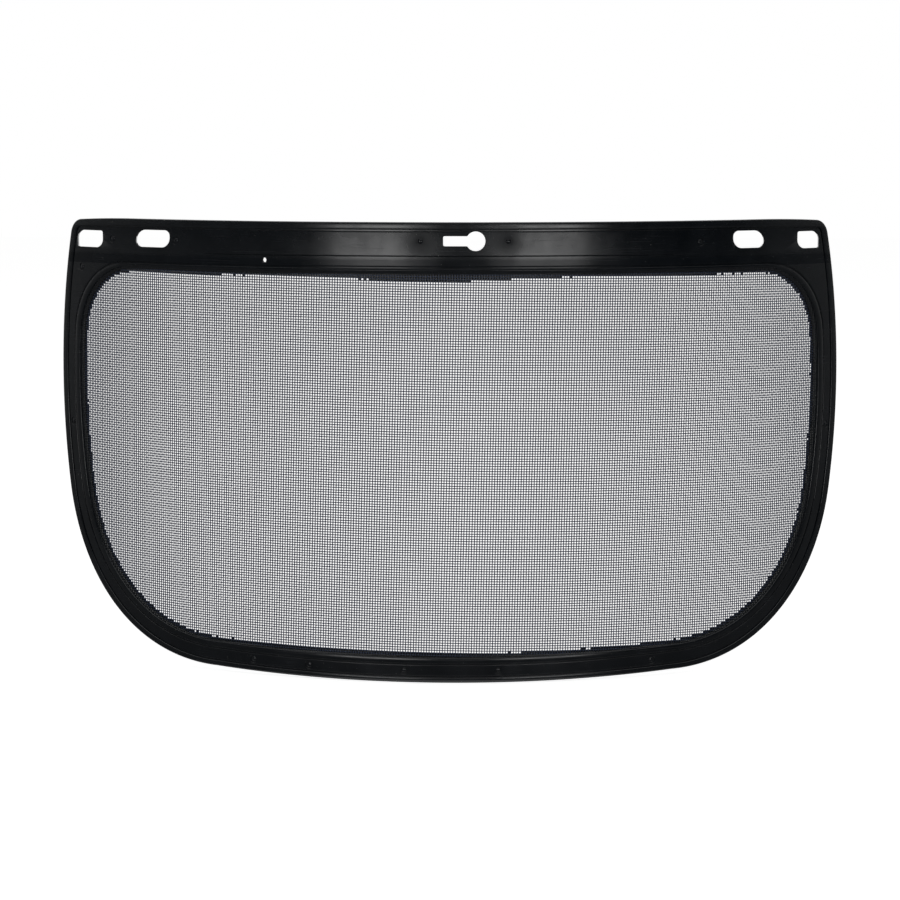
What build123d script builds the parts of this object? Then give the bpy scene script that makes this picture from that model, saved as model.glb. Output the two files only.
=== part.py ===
from build123d import *
from build123d.topology import SkipClean
from math import asin, atan2, cos, degrees, floor, hypot, pi, sin, sqrt
import os

# Wire-mesh face shield: a moulded border, bent to a cylinder about a vertical axis, holding
# a woven wire screen. Millimetres, +Z up. The convex front faces -Y and the wearer is on +Y.
# The origin is on the inner face of the border, on its centreline, level with the stud row.
# "Along" is measured round the bend from the centreline, at the radius of the screen.

# --- bend and outline -----------------------------------------------------------------
SCREEN_RADIUS = 260.0       # bend radius at the middle of the screen
HALF_WIDTH = 198.2          # widest point of the outline, measured along the bend
WIDEST_Z = -69.0            # height of the widest point
SIDE_RADIUS = 293.0         # flat-pattern radius of each side edge
TOP_Z = 8.2                 # top edge above the stud row
HEIGHT = 203.2              # overall height on the centreline
BOTTOM_BOW = 2.2            # how much the bottom edge drops towards the centreline
CORNER_RADIUS = 90.5        # flat-pattern radius of the bottom corners
TOP_CORNER_RADIUS = 8.0
SHOULDER_X = 148.0          # where the straight top edge starts to droop, along the bend
SHOULDER_RADIUS = 650.0     # flat-pattern radius of the drooping shoulders

# --- bands of the border, from the outer edge inwards: side, bottom and top widths -------
RIM = (3.7, 2.4, 3.3)
BAND = (4.4, 5.0, 15.5)
BEAD = (3.4, 2.6, 1.6)
LIP = (3.4, 1.3, 1.7)
GROOVE = 0.6                # width of the grooves on both sides of the band
RIM_CORNER_RADIUS = 3.0     # upper corners of the rim's inner edge
BEAD_CORNER_RADIUS = 35.0   # upper corners of the inner bead, outer edge

# --- thicknesses, from the middle of the screen -------------------------------------------
REAR_COVER = 1.2            # border behind the middle of the screen
GROOVE_COVER = 0.8          # border in front of it at the bottom of the grooves
BAND_RISE = 0.4             # band above the bottom of the grooves
RIM_RISE = 0.8              # rim above the bottom of the grooves
BEAD_RISE = 0.7             # inner bead above the bottom of the grooves
LIP_COVER = 0.7             # thin lip that runs out over the screen, on both sides

# --- woven screen ----------------------------------------------------------------------
WIRE = 0.42                 # wire diameter
WARP_PITCH = 1.168          # between upright wires
WEFT_PITCH = 1.116          # between level wires
SCREEN_GRIP = 4.4           # how far the screen runs into the border past the lip's edge
WIRE_CLEARANCE = 0.03       # round each wire layer

# --- stud openings ------------------------------------------------------------------------
KEYHOLE_SEAT_X = 2.7        # middle of the stud's seat, along the bend
KEYHOLE_SHIFT = 11.9        # from the seat to the middle of the entry
ENTRY_DIAMETER = 8.5
SEAT_HEIGHT = 4.4
SEAT_CORNER = 1.6
LEFT_INNER_SLOT = (-131.2, 17.7)    # middle and length, square to the centreline
RIGHT_INNER_SLOT = (135.4, 15.4)
LEFT_OUTER_SLOT = (-163.7, 14.9)
RIGHT_OUTER_SLOT = (164.3, 12.2)
SLOT_HEIGHT = 7.8
INNER_SLOT_DROP = 0.6               # below the stud row
OUTER_SLOT_DROP = 1.6
INNER_SLOT_CORNERS = (4.4, 2.0, 3.8, 2.4)   # upper outer, upper inner, lower inner, lower outer
OUTER_SLOT_CORNERS = (3.6, 0.9, 4.0, 0.6)

# --- marks of the mould ---------------------------------------------------------------------
LOCATING_HOLE_X = -79.5
LOCATING_HOLE_DROP = 8.8    # below the stud row
LOCATING_HOLE_DIAMETER = 2.2
PIN_MARK_DIAMETER = 3.6
PIN_MARK_DEPTH = 0.3
KEYHOLE_MARK_SPAN = 38.0    # between the two marks beside the keyhole
TOP_MARKS_X = (-161.0, -124.0, 116.5)
TOP_MARKS_DROP = 1.2
SHOULDER_MARK_X = -182.2
SHOULDER_MARK_DROP = 14.6
SIDE_MARKS_DROP = 87.0
BOTTOM_MARKS_X = (-86.5, -59.9, -16.9, 24.9, 95.0)

# --- worked out from the above -----------------------------------------------------------
INNER_RADIUS = SCREEN_RADIUS - REAR_COVER
GROOVE_RADIUS = SCREEN_RADIUS + GROOVE_COVER
BAND_RADIUS = GROOVE_RADIUS + BAND_RISE
RIM_RADIUS = GROOVE_RADIUS + RIM_RISE
BEAD_RADIUS = GROOVE_RADIUS + BEAD_RISE
BOTTOM_Z = TOP_Z - HEIGHT
SIDE_CENTRE = (HALF_WIDTH - SIDE_RADIUS, WIDEST_Z)
SHOULDER_CENTRE = (SHOULDER_X, TOP_Z - SHOULDER_RADIUS)
WIRE_BAR = WIRE * sqrt(pi) / 2      # square bar with the section of the round wire
SPLINE_STEPS = 8                    # stretches in the curve of each bent edge
BEYOND = 10.0                       # how far a cutting tool runs past what it cuts


def inset(*bands):
    """Side, bottom and top inset of an edge that lies inside the given bands."""
    return tuple(sum(band[i] for band in bands) for i in range(3))


RIM_INNER = inset(RIM)
BAND_OUTER = inset(RIM, (GROOVE,) * 3)
BAND_INNER = inset(RIM, (GROOVE,) * 3, BAND)
BEAD_OUTER = inset(RIM, (GROOVE,) * 3, BAND, (GROOVE,) * 3)
BEAD_INNER = inset(RIM, (GROOVE,) * 3, BAND, (GROOVE,) * 3, BEAD)
WINDOW = inset(RIM, (GROOVE,) * 3, BAND, (GROOVE,) * 3, BEAD, LIP)
SCREEN = tuple(w - SCREEN_GRIP for w in WINDOW)
POCKET = tuple(w - WIRE_CLEARANCE for w in SCREEN)
EDGE = (0, 0, 0)


def place(along, z, radius):
    """Point at a place on the bend."""
    turn = along / SCREEN_RADIUS
    return Vector(radius * sin(turn), INNER_RADIUS - radius * cos(turn), z)


def local_frame(along, z, radius=SCREEN_RADIUS):
    """Plane on the bend: x along it, z out of the front."""
    turn = along / SCREEN_RADIUS
    return Plane(
        origin=place(along, z, radius),
        x_dir=(cos(turn), sin(turn), 0),
        z_dir=(sin(turn), -cos(turn), 0),
    )


def half_width_at(z, insets):
    """Half width of an inset outline at a height on its side edges."""
    return SIDE_CENTRE[0] + sqrt((SIDE_RADIUS - insets[0]) ** 2 - (z - WIDEST_Z) ** 2)


def corner_arc(insets):
    """Centre and radius of the bottom corner of an inset outline."""
    radius = CORNER_RADIUS - (insets[0] + insets[1]) / 2
    centre_z = BOTTOM_Z + BOTTOM_BOW + insets[1] + radius
    reach = sqrt((SIDE_RADIUS - insets[0] - radius) ** 2 - (centre_z - WIDEST_Z) ** 2)
    return SIDE_CENTRE[0] + reach, centre_z, radius


def top_corner_centre(insets, radius):
    """Centre of an upper corner, which touches the shoulder and the side of an outline."""
    shoulder_reach = SHOULDER_RADIUS - insets[2] - radius
    side_reach = SIDE_RADIUS - insets[0] - radius
    across = SIDE_CENTRE[0] - SHOULDER_CENTRE[0]
    rise = SIDE_CENTRE[1] - SHOULDER_CENTRE[1]
    apart = hypot(across, rise)
    between = (shoulder_reach**2 - side_reach**2 + apart**2) / (2 * apart)
    off = sqrt(shoulder_reach**2 - between**2)
    x = SHOULDER_CENTRE[0] + (across * between + rise * off) / apart
    z = SHOULDER_CENTRE[1] + (rise * between - across * off) / apart
    return x, z


def flat_half_outline(insets, top_corner):
    """Right half of an inset outline in the flat, from the top to the bottom centre."""
    top = TOP_Z - insets[2]
    side_radius = SIDE_RADIUS - insets[0]
    corner_x, corner_z = top_corner_centre(insets, top_corner)
    shoulder_turn = atan2(corner_z - SHOULDER_CENTRE[1], corner_x - SHOULDER_CENTRE[0])
    side_turn = atan2(corner_z - SIDE_CENTRE[1], corner_x - SIDE_CENTRE[0])
    centre_x, centre_z, radius = corner_arc(insets)
    lean = asin((centre_z - WIDEST_Z) / (side_radius - radius))

    def on_arc(x, z, r, turn):
        return (x + r * cos(turn), z + r * sin(turn))

    def arc(x, z, r, start, end):
        steps = (start, (start + end) / 2, end)
        return ThreePointArc(*(on_arc(x, z, r, turn) for turn in steps))

    bottom_turn = -pi / 2
    bow_radius = (centre_x**2 + BOTTOM_BOW**2) / (2 * BOTTOM_BOW)
    bottom = centre_z - radius - BOTTOM_BOW
    half_bow = asin(centre_x / bow_radius)
    return [
        Line((0, top), (SHOULDER_X, top)),
        arc(*SHOULDER_CENTRE, SHOULDER_RADIUS - insets[2], pi / 2, shoulder_turn),
        arc(corner_x, corner_z, top_corner, shoulder_turn, side_turn),
        arc(*SIDE_CENTRE, side_radius, side_turn, lean),
        arc(centre_x, centre_z, radius, lean, bottom_turn),
        arc(0, bottom + bow_radius, bow_radius, bottom_turn + half_bow, bottom_turn),
    ]


def bent_edge(edge, radius, side):
    """Edge of the flat outline as it is seen along Y once bent; side is 1 or -1."""

    def seen(t):
        flat = edge @ t
        return (side * radius * sin(flat.X / SCREEN_RADIUS), 0, flat.Y)

    def seen_direction(t):
        flat = edge @ t
        way = edge % t
        along = way.X * cos(flat.X / SCREEN_RADIUS) * radius / SCREEN_RADIUS
        return (side * along, 0, way.Y)

    points = [seen(i / SPLINE_STEPS) for i in range(SPLINE_STEPS + 1)]
    return Spline(*points, tangents=[seen_direction(0), seen_direction(1)])


def bent_face(insets, top_corner, radius):
    """Face on the bend inside an inset outline."""
    half = flat_half_outline(insets, top_corner)
    edges = [bent_edge(edge, radius, side) for side in (1, -1) for edge in half]
    behind = Pos(0, INNER_RADIUS, 0) * Face(Wire(edges))
    prism = extrude(behind, amount=2 * INNER_RADIUS, dir=(0, -1, 0))
    sweep = degrees((HALF_WIDTH + BEYOND) / SCREEN_RADIUS)
    foot = Plane((0, INNER_RADIUS, BOTTOM_Z - BEYOND))
    arc = Edge.make_circle(radius, foot, -90 - sweep, -90 + sweep)
    skin = Face.extrude(arc, Vector(0, 0, HEIGHT + 2 * BEYOND))
    with SkipClean():       # keeps the edges of all the outlines alike, for the walls
        return (skin & prism).faces()[0]


def wall(face, other):
    """Walls across the thickness, between one outline at two radii."""
    others = other.outer_wire().edges()
    pieces = []
    for edge in face.outer_wire().edges():
        middle = edge @ 0.5
        facing = min(others, key=lambda e: (e @ 0.5 - middle).length)
        pieces.append(Face.make_surface_from_curves(edge, facing))
    return pieces


def border_section():
    """Section of the border as (inset, upper corner, radius) steps, all the way round it."""
    inner_corner = BEAD_CORNER_RADIUS - BEAD[2]
    window_corner = inner_corner - LIP[2]
    band_corner = BEAD_CORNER_RADIUS + GROOVE
    grip = WIRE + WIRE_CLEARANCE
    return [
        (EDGE, TOP_CORNER_RADIUS, INNER_RADIUS),
        (BEAD_INNER, inner_corner, INNER_RADIUS),
        (BEAD_INNER, inner_corner, SCREEN_RADIUS - LIP_COVER),
        (WINDOW, window_corner, SCREEN_RADIUS - LIP_COVER),
        (WINDOW, window_corner, SCREEN_RADIUS - grip),
        (POCKET, BEAD_CORNER_RADIUS, SCREEN_RADIUS - grip),
        (POCKET, BEAD_CORNER_RADIUS, SCREEN_RADIUS + grip),
        (WINDOW, window_corner, SCREEN_RADIUS + grip),
        (WINDOW, window_corner, SCREEN_RADIUS + LIP_COVER),
        (BEAD_INNER, inner_corner, SCREEN_RADIUS + LIP_COVER),
        (BEAD_INNER, inner_corner, BEAD_RADIUS),
        (BEAD_OUTER, BEAD_CORNER_RADIUS, BEAD_RADIUS),
        (BEAD_OUTER, BEAD_CORNER_RADIUS, GROOVE_RADIUS),
        (BAND_INNER, band_corner, GROOVE_RADIUS),
        (BAND_INNER, band_corner, BAND_RADIUS),
        (BAND_OUTER, RIM_CORNER_RADIUS, BAND_RADIUS),
        (BAND_OUTER, RIM_CORNER_RADIUS, GROOVE_RADIUS),
        (RIM_INNER, RIM_CORNER_RADIUS, GROOVE_RADIUS),
        (RIM_INNER, RIM_CORNER_RADIUS, RIM_RADIUS),
        (EDGE, TOP_CORNER_RADIUS, RIM_RADIUS),
    ]


def border_blank():
    """Border before its openings are cut, closed round its section."""
    steps = border_section()
    faces = [bent_face(*step) for step in steps]
    skins = []
    for i, face in enumerate(faces):
        after = faces[(i + 1) % len(faces)]
        if steps[i][2] == steps[(i + 1) % len(steps)][2]:
            outer, inner = sorted((face, after), key=lambda f: -f.area)
            skins.append(outer.make_holes([inner.outer_wire()]))
        else:
            skins += wall(face, after)
    return Solid(Shell(skins))


def bottom_edge(along, insets):
    """Height of the lower edge of an inset outline, between its bottom corners."""
    centre_x, centre_z, radius = corner_arc(insets)
    bow_radius = (centre_x**2 + BOTTOM_BOW**2) / (2 * BOTTOM_BOW)
    return centre_z - radius - BOTTOM_BOW + bow_radius - sqrt(bow_radius**2 - along**2)


def punch(sketch, along, z):
    """Cutting tool square to the bend at a place, made from a flat sketch."""
    return local_frame(along, z) * extrude(sketch, amount=BEYOND, both=True)


def keyhole_tool():
    """Entry for the stud's head and the narrow seat that its neck slides into."""
    entry = Circle(ENTRY_DIAMETER / 2)
    length = KEYHOLE_SHIFT + SEAT_HEIGHT / 2
    seat = Pos(-length / 2, 0) * Rectangle(length, SEAT_HEIGHT)
    ends = seat.vertices().sort_by(Axis.X)[:2]
    seat = fillet(ends, SEAT_CORNER)
    return punch(entry + seat, KEYHOLE_SEAT_X + KEYHOLE_SHIFT, 0)


def slot_tool(slot, drop, radii):
    """Side slot, cut the way the mould opens; its corners go round from the upper outer one."""
    middle, length = slot
    x = length / 2 if middle > 0 else -length / 2
    z = SLOT_HEIGHT / 2
    sketch = Rectangle(length, SLOT_HEIGHT)
    for corner, radius in zip([(x, z), (-x, z), (-x, -z), (x, -z)], radii):
        nearest = sketch.vertices().sort_by_distance(corner)[0]
        sketch = fillet(nearest, radius)
    return Plane.XZ * Pos(middle, -drop) * extrude(sketch, amount=INNER_RADIUS, both=True)


def mark_tool(along, z, radius):
    """Shallow round recess left by a pin of the mould."""
    disc = Circle(PIN_MARK_DIAMETER / 2)
    return local_frame(along, z, radius - PIN_MARK_DEPTH) * extrude(disc, amount=BEYOND)


def pin_marks():
    """Every mould pin mark on the front of the border."""
    middle = KEYHOLE_SEAT_X + (KEYHOLE_SHIFT + (ENTRY_DIAMETER - SEAT_HEIGHT) / 2) / 2
    places = [(middle - KEYHOLE_MARK_SPAN / 2, 0), (middle + KEYHOLE_MARK_SPAN / 2, 0)]
    places += [(x, -TOP_MARKS_DROP) for x in TOP_MARKS_X]
    places += [(SHOULDER_MARK_X, -SHOULDER_MARK_DROP)]
    band_middle = (BAND_OUTER[1] + BAND_INNER[1]) / 2
    for x in BOTTOM_MARKS_X:
        places.append((x, bottom_edge(x, (band_middle,) * 3)))
    side = half_width_at(-SIDE_MARKS_DROP, BAND_OUTER) - PIN_MARK_DIAMETER / 2 - GROOVE
    places += [(-side, -SIDE_MARKS_DROP), (side, -SIDE_MARKS_DROP)]
    return [mark_tool(x, z, BAND_RADIUS) for x, z in places]


def moulded_border():
    """Border with its rim, band, inner bead and thin lip, its openings and pin marks."""
    slots = [
        slot_tool(LEFT_INNER_SLOT, INNER_SLOT_DROP, INNER_SLOT_CORNERS),
        slot_tool(RIGHT_INNER_SLOT, INNER_SLOT_DROP, INNER_SLOT_CORNERS),
        slot_tool(LEFT_OUTER_SLOT, OUTER_SLOT_DROP, OUTER_SLOT_CORNERS),
        slot_tool(RIGHT_OUTER_SLOT, OUTER_SLOT_DROP, OUTER_SLOT_CORNERS),
    ]
    hole = punch(Circle(LOCATING_HOLE_DIAMETER / 2), LOCATING_HOLE_X, -LOCATING_HOLE_DROP)
    return border_blank() - [keyhole_tool(), hole] - slots - pin_marks()


def screen_outline():
    """Flat outline of the cut screen."""
    half = flat_half_outline(SCREEN, BEAD_CORNER_RADIUS)
    right = Wire(half)
    return Face(Wire(half + right.mirror(Plane.YZ).edges()))


def spans(lines):
    """The stretch of each straight line that lies inside the screen's outline."""
    outline = screen_outline()
    kept = [outline & line for line in lines]
    return [stretch for stretch in kept if stretch is not None]


def warp_wires():
    """Upright wires, straight bars in the front layer of the screen."""
    count = floor((HALF_WIDTH - SCREEN[0]) / WARP_PITCH)
    places = [i * WARP_PITCH for i in range(-count, count + 1)]
    lines = [Edge.make_line((x, BOTTOM_Z, 0), (x, TOP_Z, 0)) for x in places]
    bars = []
    for span in spans(lines):
        middle = span.center()
        bar = Box(WIRE_BAR, span.length, WIRE_BAR)
        bars.append(local_frame(middle.X, middle.Y, SCREEN_RADIUS + WIRE / 2) * bar)
    return bars


def weft_wires():
    """Level wires, arcs in the rear layer of the screen."""
    low, high = BOTTOM_Z + SCREEN[1], TOP_Z - SCREEN[2]
    count = floor((high - low) / WEFT_PITCH)
    places = [high - (i + 0.5) * WEFT_PITCH for i in range(count)]
    lines = [Edge.make_line((-HALF_WIDTH, z, 0), (HALF_WIDTH, z, 0)) for z in places]
    axis = Axis((0, INNER_RADIUS, 0), (0, 0, 1))
    arcs = []
    for span in spans(lines):
        reach = span.length / 2
        start = local_frame(-reach, span.center().Y, SCREEN_RADIUS - WIRE / 2)
        section = Plane(start.origin, x_dir=start.z_dir, z_dir=start.x_dir)
        profile = section * Rectangle(WIRE_BAR, WIRE_BAR)
        arcs.append(revolve(profile, axis, degrees(span.length / SCREEN_RADIUS)))
    return arcs


def write(name, shape):
    """Writes one node of the face shield."""
    export_step(shape, f"parts/{name}.step")


os.makedirs("parts", exist_ok=True)
write("moulded_border", moulded_border())
write("warp_wires", Compound(children=warp_wires()))
write("weft_wires", Compound(children=weft_wires()))
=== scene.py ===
"""Dresses the wire-mesh face shield: its moulded border, woven screen and studio."""

import logging
import math
from dataclasses import dataclass, field, fields
from enum import Enum
from typing import Any, Callable, Iterable, Sequence

import bmesh
import bpy
import numpy as np
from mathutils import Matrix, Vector

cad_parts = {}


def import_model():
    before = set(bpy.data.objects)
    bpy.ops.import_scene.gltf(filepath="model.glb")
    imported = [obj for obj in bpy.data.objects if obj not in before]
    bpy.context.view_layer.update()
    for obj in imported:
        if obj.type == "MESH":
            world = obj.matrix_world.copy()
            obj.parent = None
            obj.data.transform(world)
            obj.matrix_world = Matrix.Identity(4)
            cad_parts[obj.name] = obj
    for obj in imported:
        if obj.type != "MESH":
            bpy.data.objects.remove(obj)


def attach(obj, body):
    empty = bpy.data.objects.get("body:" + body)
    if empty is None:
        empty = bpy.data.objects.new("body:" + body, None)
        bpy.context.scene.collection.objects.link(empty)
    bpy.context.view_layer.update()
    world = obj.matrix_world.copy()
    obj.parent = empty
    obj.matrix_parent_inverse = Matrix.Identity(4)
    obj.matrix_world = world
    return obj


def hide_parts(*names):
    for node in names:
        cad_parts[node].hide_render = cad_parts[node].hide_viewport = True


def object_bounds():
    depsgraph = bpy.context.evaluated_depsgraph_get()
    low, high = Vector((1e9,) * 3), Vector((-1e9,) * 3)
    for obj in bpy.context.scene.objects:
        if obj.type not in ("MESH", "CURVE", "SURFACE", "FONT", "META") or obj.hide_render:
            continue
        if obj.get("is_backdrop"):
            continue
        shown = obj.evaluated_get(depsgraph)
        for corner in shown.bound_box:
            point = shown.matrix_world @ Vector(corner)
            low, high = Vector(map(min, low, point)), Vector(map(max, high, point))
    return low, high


log = logging.getLogger("face_shield")

MM = 0.001
BODY = "root"

Insets = tuple[float, float, float]
Place = tuple[float, float]
Put = Callable[..., bpy.types.bpy_prop_collection]

WHITE = (1.0, 1.0, 1.0, 1.0)

# node types that are used again and again
MATH = "ShaderNodeMath"
VECTOR_MATH = "ShaderNodeVectorMath"
COMPARE = "FunctionNodeCompare"
BOOLEAN = "FunctionNodeBooleanMath"
NOISE = "ShaderNodeTexNoise"
MAP_RANGE = "ShaderNodeMapRange"
MIX = "ShaderNodeMix"
ATTRIBUTE = "ShaderNodeAttribute"
COMBINE = "ShaderNodeCombineXYZ"
SEPARATE = "ShaderNodeSeparateXYZ"
TEXTURE_PLACE = "ShaderNodeTexCoord"

SOCKET_KINDS = {
    bool: "Bool",
    int: "Int",
    float: "Float",
    tuple: "Vector",
    bpy.types.Material: "Material",
}

INNER_SLOT_CORNERS = (4.9 * MM, 2.4 * MM, 4.5 * MM, 2.7 * MM)
OUTER_SLOT_CORNERS = (3.8 * MM, 0.9 * MM, 4.0 * MM, 0.7 * MM)


class Wires(Enum):
    """The two sets of wires in the screen."""

    UPRIGHT = "warp_wires"
    LEVEL = "weft_wires"


def linear(hex_colour: str) -> tuple[float, float, float, float]:
    """Turns an sRGB hex colour to linear light.

    Args:
        hex_colour: Six hex digits, with or without a leading hash.

    Returns:
        Red, green, blue and alpha as Blender's sockets want them.
    """
    digits = hex_colour.lstrip("#")
    parts = [int(digits[i : i + 2], 16) / 255 for i in (0, 2, 4)]
    lit = [c / 12.92 if c <= 0.04045 else ((c + 0.055) / 1.055) ** 2.4 for c in parts]
    return (lit[0], lit[1], lit[2], 1.0)


def add_node(
    tree: bpy.types.NodeTree, kind: str, inputs: dict[Any, Any] | None = None, **values: Any
) -> bpy.types.Node:
    """Adds one node to a tree, sets it up and links it.

    Args:
        tree: The material or geometry tree.
        kind: The node's type name.
        inputs: From a socket's identifier, name or number to a plain value, or to the
            output that feeds it.
        **values: Node settings by name.

    Returns:
        The new node.
    """
    node = tree.nodes.new(kind)
    for name, value in values.items():
        setattr(node, name, value)
    for key, value in (inputs or {}).items():
        named = [socket for socket in node.inputs if key == socket.identifier]
        socket = named[0] if named else node.inputs[key]
        if isinstance(value, bpy.types.NodeSocket):
            tree.links.new(value, socket)
        else:
            socket.default_value = value
    return node


def putter(tree: bpy.types.NodeTree) -> Put:
    """Gives a function that adds a node to a tree and returns the node's outputs."""
    return lambda kind, inputs=None, **values: add_node(tree, kind, inputs, **values).outputs


def new_material(name: str) -> tuple[bpy.types.Material, Put]:
    """Makes an empty node material.

    Args:
        name: What the real material is called.

    Returns:
        The material, and the function that adds nodes to it.
    """
    material = bpy.data.materials.new(name)
    material.use_nodes = True
    material.node_tree.nodes.clear()
    return material, putter(material.node_tree)


# --- the shield's flat pattern and bend -----------------------------------------------------


@dataclass(frozen=True)
class Bend:
    """The bend of the shield about its upright axis."""

    radius: float = 260.0 * MM
    rear_cover: float = 1.2 * MM

    @property
    def axis_y(self) -> float:
        """Distance from the origin back to the axis of the bend."""
        return self.radius - self.rear_cover

    def wrap(self, flat: np.ndarray) -> np.ndarray:
        """Bends flat points.

        Args:
            flat: Rows of distance along the bend, height, and rise in front of the screen.

        Returns:
            Rows of x, y, z in the shield's own frame.
        """
        turn = flat[:, 0] / self.radius
        reach = self.radius + flat[:, 2]
        x = reach * np.sin(turn)
        y = self.axis_y - reach * np.cos(turn)
        return np.stack([x, y, flat[:, 1]], axis=1)


@dataclass(frozen=True)
class FlatPattern:
    """Outline of the shield laid flat, and the bands of its border, in metres."""

    half_width: float = 198.2 * MM
    widest_z: float = -69.0 * MM
    side_radius: float = 293.0 * MM
    top_z: float = 8.2 * MM
    height: float = 203.2 * MM
    bottom_bow: float = 2.2 * MM
    corner_radius: float = 90.5 * MM
    top_corner: float = 8.0 * MM
    shoulder_x: float = 148.0 * MM
    shoulder_radius: float = 650.0 * MM
    rim_corner: float = 3.0 * MM
    bead_corner: float = 35.0 * MM
    rim: Insets = (3.7 * MM, 2.4 * MM, 3.3 * MM)
    band: Insets = (4.4 * MM, 5.0 * MM, 15.5 * MM)
    bead: Insets = (3.4 * MM, 2.6 * MM, 1.6 * MM)
    lip: Insets = (3.4 * MM, 1.3 * MM, 1.7 * MM)
    groove: float = 0.6 * MM
    screen_grip: float = 4.4 * MM
    steps: tuple[int, ...] = (114, 36, 26, 84, 120, 84)

    def inset(self, *bands: Insets) -> Insets:
        """Side, bottom and top inset of an edge inside the given bands."""
        side, bottom, top = (sum(widths) for widths in zip(*bands))
        return (side, bottom, top)

    @property
    def edges(self) -> dict[str, tuple[Insets, float]]:
        """Insets and upper corner radius of each edge of the border, from outside in."""
        gap = (self.groove,) * 3
        to_bead = (self.rim, gap, self.band, gap)
        bead_inner = self.bead_corner - self.bead[2]
        return {
            "edge": ((0.0, 0.0, 0.0), self.top_corner),
            "rim_inner": (self.inset(self.rim), self.rim_corner),
            "band_outer": (self.inset(self.rim, gap), self.rim_corner),
            "band_inner": (self.inset(*to_bead[:3]), self.bead_corner + self.groove),
            "bead_outer": (self.inset(*to_bead), self.bead_corner),
            "bead_inner": (self.inset(*to_bead, self.bead), bead_inner),
            "window": (self.inset(*to_bead, self.bead, self.lip), bead_inner - self.lip[2]),
        }

    @property
    def side_centre(self) -> Place:
        """Centre that every side arc shares."""
        return (self.half_width - self.side_radius, self.widest_z)

    @property
    def shoulder_centre(self) -> Place:
        """Centre that every shoulder arc shares."""
        return (self.shoulder_x, self.top_z - self.shoulder_radius)

    def top_corner_centre(self, insets: Insets, radius: float) -> Place:
        """Centre of an upper corner that touches an inset outline's shoulder and side."""
        from_shoulder = self.shoulder_radius - insets[2] - radius
        from_side = self.side_radius - insets[0] - radius
        across = self.side_centre[0] - self.shoulder_centre[0]
        rise = self.side_centre[1] - self.shoulder_centre[1]
        apart = math.hypot(across, rise)
        between = (from_shoulder**2 - from_side**2 + apart**2) / (2 * apart)
        off = math.sqrt(from_shoulder**2 - between**2)
        x = self.shoulder_centre[0] + (across * between + rise * off) / apart
        z = self.shoulder_centre[1] + (rise * between - across * off) / apart
        return (x, z)

    def half_outline(self, insets: Insets, top_corner: float) -> np.ndarray:
        """Right half of an inset outline, from the top's middle round to the bottom's.

        Args:
            insets: How far in the outline lies at its sides, bottom and top.
            top_corner: Radius of its upper corner.

        Returns:
            Rows of distance along the bend and height.
        """
        top = self.top_z - insets[2]
        side_radius = self.side_radius - insets[0]
        side_x, side_z = self.side_centre
        shoulder_x, shoulder_z = self.shoulder_centre
        corner_x, corner_z = self.top_corner_centre(insets, top_corner)
        shoulder_turn = math.atan2(corner_z - shoulder_z, corner_x - shoulder_x)
        side_turn = math.atan2(corner_z - side_z, corner_x - side_x)
        radius = self.corner_radius - (insets[0] + insets[1]) / 2
        low_z = self.top_z - self.height + self.bottom_bow + insets[1] + radius
        reach = side_radius - radius
        low_x = side_x + math.sqrt(reach**2 - (low_z - side_z) ** 2)
        lean = math.asin((low_z - side_z) / reach)
        bow = (low_x**2 + self.bottom_bow**2) / (2 * self.bottom_bow)
        bow_z = low_z - radius - self.bottom_bow + bow
        down = -math.pi / 2
        level = np.linspace(0, shoulder_x, self.steps[0] + 1)
        parts = [np.stack([level, np.full(len(level), top)], 1)]
        arcs = (
            (shoulder_x, shoulder_z, self.shoulder_radius - insets[2], -down, shoulder_turn),
            (corner_x, corner_z, top_corner, shoulder_turn, side_turn),
            (side_x, side_z, side_radius, side_turn, lean),
            (low_x, low_z, radius, lean, down),
            (0.0, bow_z, bow, down + math.asin(low_x / bow), down),
        )
        for count, (x, z, r, start, end) in zip(self.steps[1:], arcs):
            turns = np.linspace(start, end, count + 1)[1:]
            parts.append(np.stack([x + r * np.cos(turns), z + r * np.sin(turns)], 1))
        return np.concatenate(parts)

    def outline(self, insets: Insets, top_corner: float) -> np.ndarray:
        """Whole inset outline, clockwise from the top's middle, as rows of x and z."""
        right = self.half_outline(insets, top_corner)
        left = right[-2:0:-1] * np.array([-1.0, 1.0])
        return np.concatenate([right, left])

    def screen_outline(self) -> np.ndarray:
        """Outline of the cut screen, which runs into the border past its lip."""
        insets, _ = self.edges["window"]
        grip = tuple(width - self.screen_grip for width in insets)
        return self.outline((grip[0], grip[1], grip[2]), self.bead_corner)


def link_piece(name: str, mesh: bpy.types.Mesh) -> bpy.types.Object:
    """Puts a mesh in the scene as a piece at the origin."""
    piece = bpy.data.objects.new(name, mesh)
    bpy.context.scene.collection.objects.link(piece)
    return piece


def smooth(mesh: bpy.types.Mesh, sharp_degrees: float) -> None:
    """Shades a mesh smooth, apart from edges sharper than an angle."""
    mesh.shade_smooth()
    mesh.set_sharp_from_angle(angle=math.radians(sharp_degrees))


def finish_piece(piece: bpy.types.Object, slot: str, *nodes: str) -> None:
    """Rides a piece on the shield and hides the CAD nodes that it replaces.

    Args:
        piece: The finished piece.
        slot: The record's material slot that it is finished in; not used.
        *nodes: The CAD nodes that it replaces.
    """
    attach(piece, BODY)
    if nodes:
        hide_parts(*nodes)
    log.info("%s: %d faces", piece.name, len(piece.data.polygons))


def settle(piece: bpy.types.Object) -> bpy.types.Object:
    """Turns a piece's modifiers into a plain mesh and takes them off."""
    bpy.context.view_layer.update()
    depsgraph = bpy.context.evaluated_depsgraph_get()
    mesh = bpy.data.meshes.new_from_object(piece.evaluated_get(depsgraph), depsgraph=depsgraph)
    piece.modifiers.clear()
    piece.data = mesh
    mesh.name = piece.name
    return piece


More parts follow.
